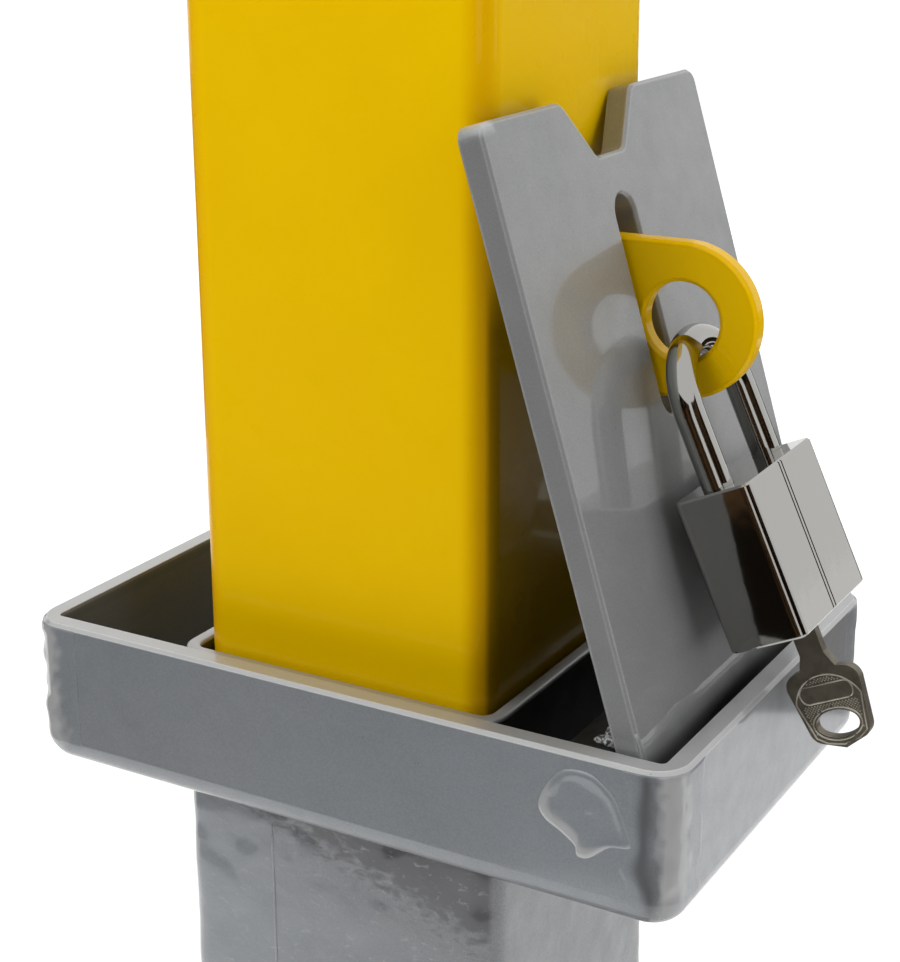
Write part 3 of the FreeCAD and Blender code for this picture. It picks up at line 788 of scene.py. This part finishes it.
def make_lid_seam(material):
    """The ground weld that fills the groove between the lid's foot and its barrel."""
    levels, count = 14, 70
    low, high = -1 * mm, lid_weld_up + 1.6 * mm
    foot, foot_rise = 1.2 * mm, 0.03 * mm
    groove_up, groove_deep = 11 * mm, 1.2 * mm
    skin = 0.6 * mm
    swell, edge_soft = 0.22 * mm, 0.8 * mm
    waver, grain = 0.9 * mm, 0.07 * mm
    top, under = [], []
    for level in range(levels + 1):
        row_top, row_under = [], []
        for i in range(count + 1):
            y = -lid_half + 2 * lid_half * i / count
            reach = lid_weld_up + waver * lump(Vector((y, 0, 0)), 9 * mm, seed=6)
            up = low + (high - low) * level / levels
            rise = swell * math.tanh((reach - up) / edge_soft)
            rise += grain * lump(Vector((y, up, 0)), 3 * mm, seed=5)
            if up < foot:
                rise = min(rise, foot_rise)
            sink = groove_deep * math.sin(math.pi * min(max(up / groove_up, 0), 1))
            row_top.append(on_lid(barrel_r + rise, y, up))
            row_under.append(on_lid(barrel_r - skin - sink, y, up))
        top.append(row_top)
        under.append(row_under)
    points, faces = closed_patch(top, under)
    piece("lid_seam", points, faces, material, "lid")


def make_lid_stitches(material):
    """Three short fillet welds between the lid's inner face and the barrel."""
    inner = barrel_r - lid_t
    out = inner - 0.5 * mm
    up = math.sqrt(barrel_r ** 2 - inner ** 2) + 0.6 * mm
    reach = lid_half - 1.5 * mm
    end_run = 24 * mm
    middle = 10 * mm
    runs = [(-reach, -reach + end_run), (-middle, middle), (reach - end_run, reach)]
    for i, (start, end) in enumerate(runs):
        path = straight(on_lid(out, start, up), on_lid(out, end, up))
        bead("lid_stitch_%d" % i, path, 2.3 * mm, material, "lid", seed=i + 11)


# The lumps of the crust at the lid's foot, in millimetres: out from the hinge axis along X, in from the
# lid's end, up, and their size
CRUST = [
    (3.0, 2.9, 14.9, 2.4), (1.5, 3.2, 14.3, 2.1), (-0.2, 2.6, 14.0, 1.7), (-1.5, 3.0, 13.6, 1.2),
    (2.6, 2.4, 16.6, 1.8), (3.0, 2.2, 18.2, 1.3), (1.2, 6.0, 14.2, 1.9), (3.3, 7.0, 14.6, 2.1),
]


def crust_lump(centre, size):
    """The rings of points of one rough ball."""
    rows, cols = 12, 18
    base_share, coarse, fine = 0.85, 0.4, 0.2
    rings = []
    for row in range(rows):
        down = math.pi * (row + 0.5) / rows
        ring = []
        for col in range(cols):
            turn = 2 * math.pi * col / cols
            flat = math.sin(down)
            out = Vector((flat * math.cos(turn), flat * math.sin(turn), math.cos(down)))
            at = centre + out * (size * mm)
            swell = base_share + coarse * lump(at, 1.7 * mm, seed=15)
            swell += fine * lump(at, 0.8 * mm, seed=16)
            ring.append(centre + out * (size * swell * mm))
        rings.append(ring)
    return rings


def make_lid_crusts(material):
    """The rough ends of the weld at both ends of the lid's foot, left as they set."""
    for name, hand in (("lid_crust_front", -1), ("lid_crust_back", 1)):
        points, faces = [], []
        for dx, inward, dz, size in CRUST:
            centre = hinge + Vector((dx * mm, hand * (lid_half - inward * mm), dz * mm))
            rings = crust_lump(centre, size)
            rows, cols = len(rings), len(rings[0])
            first = len(points)
            points += [p for ring in rings for p in ring]
            faces += grid_faces(rows, cols, first, False, True)
            faces.append(tuple(first + col for col in range(cols)))
            faces.append(tuple(first + (rows - 1) * cols + col for col in range(cols)))
        piece(name, points, faces, material, "lid")


def make_eye_weld(material):
    """The bead round the root of the lock eye, under the yellow paint."""
    x = post_half + 0.5 * mm
    low, high = eye_low.z, eye_high.z
    side = eye_t / 2 + 0.5 * mm
    rise = 1.2 * mm
    steps = 12
    angles = [math.pi * i / steps for i in range(1, steps)]
    over = [(side * math.cos(angle), rise * math.sin(angle)) for angle in angles]
    path = straight(Vector((x, side, low)), Vector((x, side, high)))
    path += [Vector((x, y, high + z)) for y, z in over]
    path += straight(Vector((x, -side, high)), Vector((x, -side, low)))
    path += [Vector((x, -y, low - z)) for y, z in over]
    bead("eye_weld", path, 1.5 * mm, material, "post", closed=True, seed=21)


def ring_path(out, z):
    """The centre line of a bead round the socket tube."""
    step = 1.2 * mm
    return [place + Z_AXIS * z for place, _ in square_ring(socket_half + out, socket_corner, step)]


def make_socket_welds(material):
    """The beads where the socket tube meets the tray and the base plate, and the tube's own seam."""
    tray_floor = tray_low.z + tray_wall
    inside = ring_path(0.6 * mm, tray_floor + 0.4 * mm)
    bead("tray_bead_inside", inside, 1.8 * mm, material, "ground_socket", closed=True, seed=31)
    foot = ring_path(0.8 * mm, plate_top + 0.6 * mm)
    bead("foot_bead", foot, 2.4 * mm, material, "ground_socket", closed=True, seed=32)
    z = tray_low.z - 0.3 * mm
    out = socket_half + 0.6 * mm
    runs = [(-38 * mm, -17 * mm), (14 * mm, 37 * mm)]
    stitches = [(turn, start, end) for turn in quarter_turns() for start, end in runs]
    for number, (turn, start, end) in enumerate(stitches):
        path = straight(turn @ Vector((out, start, 0)), turn @ Vector((out, end, 0)))
        path = [p + Z_AXIS * (z + 0.5 * mm * lump(p, 8 * mm, seed=9)) for p in path]
        bead("tray_stitch_%d" % number, path, 2.1 * mm, material, "ground_socket", seed=40 + number)
    seam_x, seam_y = -17.6 * mm, -socket_half + 0.2 * mm
    seam = straight(Vector((seam_x, seam_y, plate_top)), Vector((seam_x, seam_y, tray_low.z)), 2 * mm)
    bead("tube_seam", seam, 0.45 * mm, material, "ground_socket", seed=50, pitch=6 * mm)


# The key's bow in the padlock's own frame: heights from the case's top and widths, in millimetres
bow_top = -49.5
bow_half = 9.6
bow_taper = 2.3 / 16.0
bow_middle = -58.6
bow_field_r = 8.6
bow_foot = -64.6
bow_tip = -66.3
bow_hole = -62.0
bow_hole_half = (6.3, 4.2)
bow_line_half = (6.0, 3.9)
bow_panel = -54.3
bow_panel_half = (7.1, 2.7)


def case_height():
    """The height of the case's top above the lock eye, along the padlock."""
    return max((v.co - eye).dot(lock_up) for v in frame["nodes"]["lock_body"].data.vertices)


case_top = case_height()


def on_lock(x, y, z):
    """A place in the padlock's own frame, in millimetres, with the case's top at height 0."""
    return eye + lock_out * (x * mm) + Y_AXIS * (y * mm) + lock_up * (case_top + z * mm)


def bow_side(z):
    """Half the width of the key's bow at a height."""
    return bow_half - bow_taper * (bow_top - z)


def in_field(x, z):
    """Whether a place on the bow lies in its knurled field."""
    side_margin, top_margin, tip_slope = 1.5, 0.5, 0.34
    if abs(x) > bow_side(z) - side_margin:
        return False
    if z > bow_middle and math.hypot(x, z - bow_middle) > bow_field_r - top_margin:
        return False
    if z < bow_tip + abs(x) * tip_slope:
        return False
    if math.hypot(x / bow_hole_half[0], (z - bow_hole) / bow_hole_half[1]) < 1:
        return False
    return abs(x) > bow_panel_half[0] or abs(z - bow_panel) > bow_panel_half[1]


def make_key_knurl(material):
    """The small points that cover the key's bow on both faces."""
    step = 0.39
    r = 0.3
    rise, root = 0.2, 0.1
    points, faces = [], []
    for face in (-1, 1):
        y = face * key_t / mm / 2
        for row in range(-26, 26):
            for col in range(-25, 26):
                x, z = col * step, bow_middle + row * step
                if (row + col) % 2 or not in_field(x, z):
                    continue
                first = len(points)
                corners = [(x + r, z), (x, z + r), (x - r, z), (x, z - r)]
                points += [on_lock(a, y, b) for a, b in corners]
                points += [on_lock(x, y + face * rise, z), on_lock(x, y - face * root, z)]
                for k in range(4):
                    a, b = first + k, first + (k + 1) % 4
                    faces += [(a, b, first + 4), (b, a, first + 5)]
    piece("key_knurl", points, faces, material, "lock_plug")


def arc(x, z, wide, high, start, turn, steps):
    """Points on a round or oval arc, in the padlock's frame."""
    angles = [math.radians(start + turn * i / steps) for i in range(steps + 1)]
    return [(x + wide * math.cos(angle), z + high * math.sin(angle)) for angle in angles]


def make_key_lines(material):
    """The raised lines on the bow: one round its field, one round a bare panel, one round the hole."""
    line_r, even = 0.22 * mm, 50 * mm
    foot_x = bow_side(bow_foot) - 1.1
    field = arc(0, bow_middle, bow_field_r, bow_field_r, 18, 144, 24)
    field += [(-foot_x, bow_foot), (-4.0, -66.2), (0.0, -67.0), (4.0, -66.2), (foot_x, bow_foot)]
    panel = arc(5.0, bow_panel, 1.6, 2.1, -90, 180, 8) + arc(-5.0, bow_panel, 1.6, 2.1, 90, 180, 8)
    ring = arc(0, bow_hole, *bow_line_half, 0, 360, 40)[:-1]
    outlines = [(face, outline) for face in (-1, 1) for outline in (field, panel, ring)]
    for number, (face, outline) in enumerate(outlines):
        y = face * key_t / mm / 2
        path = [on_lock(x, y, z) for x, z in outline]
        name = "key_line_%d" % number
        bead(name, path, line_r, material, "lock_plug", closed=True, seed=60, pitch=even)


def make_latch_spring(material):
    """The latch's spring between the case and the latch, as a copy of its CAD mesh in its own material, in
    place of the CAD node.
    """
    mesh = frame["nodes"]["latch_spring"].data.copy()
    mesh.materials.clear()
    mesh.materials.append(material)
    spring = bpy.data.objects.new("latch_spring_coil", mesh)
    bpy.context.scene.collection.objects.link(spring)
    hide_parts("latch_spring")
    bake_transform(spring)


def make_camera():
    """The camera at the photograph's place, with its small roll and shift."""
    az, el, roll = camera_azimuth, camera_elevation, camera_roll
    back = Vector((math.cos(el) * math.sin(az), -math.cos(el) * math.cos(az), math.sin(el)))
    right = Vector((math.cos(az), math.sin(az), 0))
    up = back.cross(right)
    turned_right = right * math.cos(roll) + up * math.sin(roll)
    turned_up = up * math.cos(roll) - right * math.sin(roll)
    turn = Matrix((turned_right, turned_up, back)).transposed().to_4x4()
    data = bpy.data.cameras.new("camera")
    data.lens = camera_lens
    data.sensor_width = 36
    data.shift_x, data.shift_y = camera_shift
    data.clip_start = 0.01
    camera = bpy.data.objects.new("camera", data)
    camera.matrix_world = Matrix.Translation(camera_place) @ turn
    bpy.context.scene.collection.objects.link(camera)
    bpy.context.scene.camera = camera


# The lamps' names, places, sizes and powers in watts, and the place that they all point at
LAMPS = [
    ("key_lamp", (-0.9, -1.3, 1.5), 1.8, 29),
    ("top_lamp", (0.4, 0.6, 2.6), 2.0, 33),
    ("side_lamp", (1.5, -0.1, 0.6), 1.2, 8.5),
]
lamp_aim = Vector((0, 0, 0.33))

# Dark sheets for the reflections. After the name come the middle azimuth and the spread in degrees,
# then the distance and the height of the lower or nearer edge, and of the other edge.
flag_lie = 1 * mm
FLAGS = [
    ("flag_far", 0, 360, (1.15, flag_lie), (4.0, flag_lie)),
    ("flag_front", 5, 190, (0.5, flag_lie), (1.15, flag_lie)),
    ("flag_left", -30, 130, (1.7, 0.0), (1.7, 1.1)),
    ("flag_right", 80, 50, (1.7, 0.0), (1.7, 1.3)),
    ("flag_ring", 150, 80, (0.66, flag_lie), (0.98, flag_lie)),
    ("flag_back", 150, 60, (4.0, flag_lie), (5.8, flag_lie)),
]

# The light on the object, and the glow that keeps the floor pale to the eye, near and far
world_light = 0.22
floor_glow = (0.2, 0.8)
floor_glow_reach = (0.5, 2.0)


def make_lamp(name, place, size, power):
    """A soft square lamp. Its own shape stays out of reflections, where the white room shows."""
    data = bpy.data.lights.new(name, "AREA")
    data.size = size
    data.energy = power
    lamp = bpy.data.objects.new(name, data)
    lamp.location = place
    lamp.rotation_euler = (lamp_aim - Vector(place)).to_track_quat("-Z", "Y").to_euler()
    lamp.visible_camera = False
    lamp.visible_glossy = False
    bpy.context.scene.collection.objects.link(lamp)


def stage_sheet(name, points, faces, material):
    """A sheet of the studio, which isn't a part of the object."""
    mesh = bpy.data.meshes.new(name)
    mesh.from_pydata(points, [], faces)
    mesh.materials.append(material)
    sheet = bpy.data.objects.new(name, mesh)
    bpy.context.scene.collection.objects.link(sheet)
    return sheet


def make_floor():
    """A wide pale floor, just under the object."""
    look = Look("floor")
    look.set(Base_Color=linear(FLOOR), Roughness=0.9)
    away = look.vector("LENGTH", look.place)["Value"]
    glow = look.span(away, *floor_glow_reach, *floor_glow)
    look.set(Emission_Color=WHITE, Emission_Strength=look.product(look.clear_rays(), glow))
    half = 30.0
    points = [(-half, -half, 0), (half, -half, 0), (half, half, 0), (-half, half, 0)]
    floor = stage_sheet("floor", points, [(0, 1, 2, 3)], look.material)
    floor.location.z = -0.2 * mm


def make_flag(material, name, middle_azimuth, spread, *edges):
    """A dark curved sheet that only reflections see, as a studio uses round bright metal."""
    steps = 36
    points = []
    for i in range(steps + 1):
        angle = math.radians(middle_azimuth + spread * (i / steps - 0.5))
        for distance, z in edges:
            points.append((distance * math.sin(angle), -distance * math.cos(angle), z))
    faces = [(2 * i, 2 * i + 2, 2 * i + 3, 2 * i + 1) for i in range(steps)]
    flag = stage_sheet(name, points, faces, material)
    flag.visible_camera = False
    flag.visible_diffuse = False
    flag.visible_shadow = False


def make_world():
    """White behind the object and in its reflections, and a softer even light on it."""
    world = bpy.data.worlds.new("studio")
    world.use_nodes = True
    bpy.context.scene.world = world
    world.node_tree.nodes.clear()
    nodes = Nodes(world.node_tree)
    around = nodes.add("ShaderNodeBackground", {"Color": WHITE, "Strength": world_light}).outputs[0]
    behind = nodes.add("ShaderNodeBackground", {"Color": WHITE, "Strength": 1.0}).outputs[0]
    blend = nodes.add("ShaderNodeMixShader", {0: nodes.clear_rays(), 1: around, 2: behind})
    nodes.add("ShaderNodeOutputWorld", {"Surface": blend.outputs[0]})


def make_studio():
    """The camera, the light and what the bright metal mirrors."""
    make_camera()
    make_world()
    make_floor()
    for lamp in LAMPS:
        make_lamp(*lamp)
    look = Look("flag")
    streaks = look.span(look.noise(size=0.3), 0.45, 0.6)
    look.set(Base_Color=look.tint(FLAG, FLAG_WARM, streaks), Roughness=1.0, Specular_IOR_Level=0.0)
    for flag in FLAGS:
        make_flag(look.material, *flag)


def main():
    """Dresses the CAD nodes, adds the pieces that only the look needs, and sets the studio."""
    yellow = yellow_paint()
    tray_grey = grey_paint("tray_grey", GREY, gloss=1.0, highlight_top=tray_high.z, edge=EDGE_HIGHLIGHT)
    lid_grey = grey_paint("lid_grey", GREY_LID, specks=0.75, gloss=0.7, soft=0.9 * mm, knocked=True)
    socket_grey = grey_paint("socket_grey", GREY_DARK, gloss=0.8, highlight_top=socket_high.z, ripple=0.22 * mm)
    weld_grey = grey_paint("weld_grey", GREY_WELD, specks=0.3, soft=0.3 * mm)
    scar_grey = grey_paint("scar_grey", GREY, gloss=0.8, worn=True)
    barrel_black = near_black_steel()
    plate = chrome()
    nickel = plain_metal("stamped_nickel", NICKEL, NICKEL_DARK, 0.4, 0.55)
    nickel_bright = plain_metal("rubbed_nickel", NICKEL_BRIGHT, NICKEL, 0.34, 0.48)
    brass = plain_metal("turned_brass", BRASS, BRASS_DARK, 0.2, 0.34)
    steel = plain_metal("bare_steel", STEEL, STEEL_DARK, 0.24, 0.4)
    dress(yellow, "post_tube", "post_cap", "lock_eye")
    dress(tray_grey, "tray", "base_plate", "socket_tube", "hinge_pin")
    dress(barrel_black, "hinge_barrel")
    dress(lid_grey, "lid_plate")
    dress(plate, "lock_body", "shackle", "cylinder_cover")
    dress(nickel, "key")
    dress(brass, "cylinder_plug", "wafers")
    dress(steel, "catch_pin", "latch_bolt", "shackle_spring", "wafer_springs")
    make_socket_shell(socket_grey)
    for weld in CORNER_WELDS:
        make_corner_weld(scar_grey, *weld)
    make_plug_weld("plug_weld_front", -1, scar_grey)
    make_plug_weld("plug_weld_back", 1, scar_grey)
    make_lid_seam(lid_grey)
    make_lid_stitches(weld_grey)
    make_lid_crusts(crusty_weld())
    make_eye_weld(yellow)
    make_socket_welds(socket_grey)
    make_key_knurl(nickel_bright)
    make_key_lines(nickel_bright)
    make_latch_spring(steel)
    make_studio()
    bpy.context.scene.view_settings.view_transform = "Standard"


main()
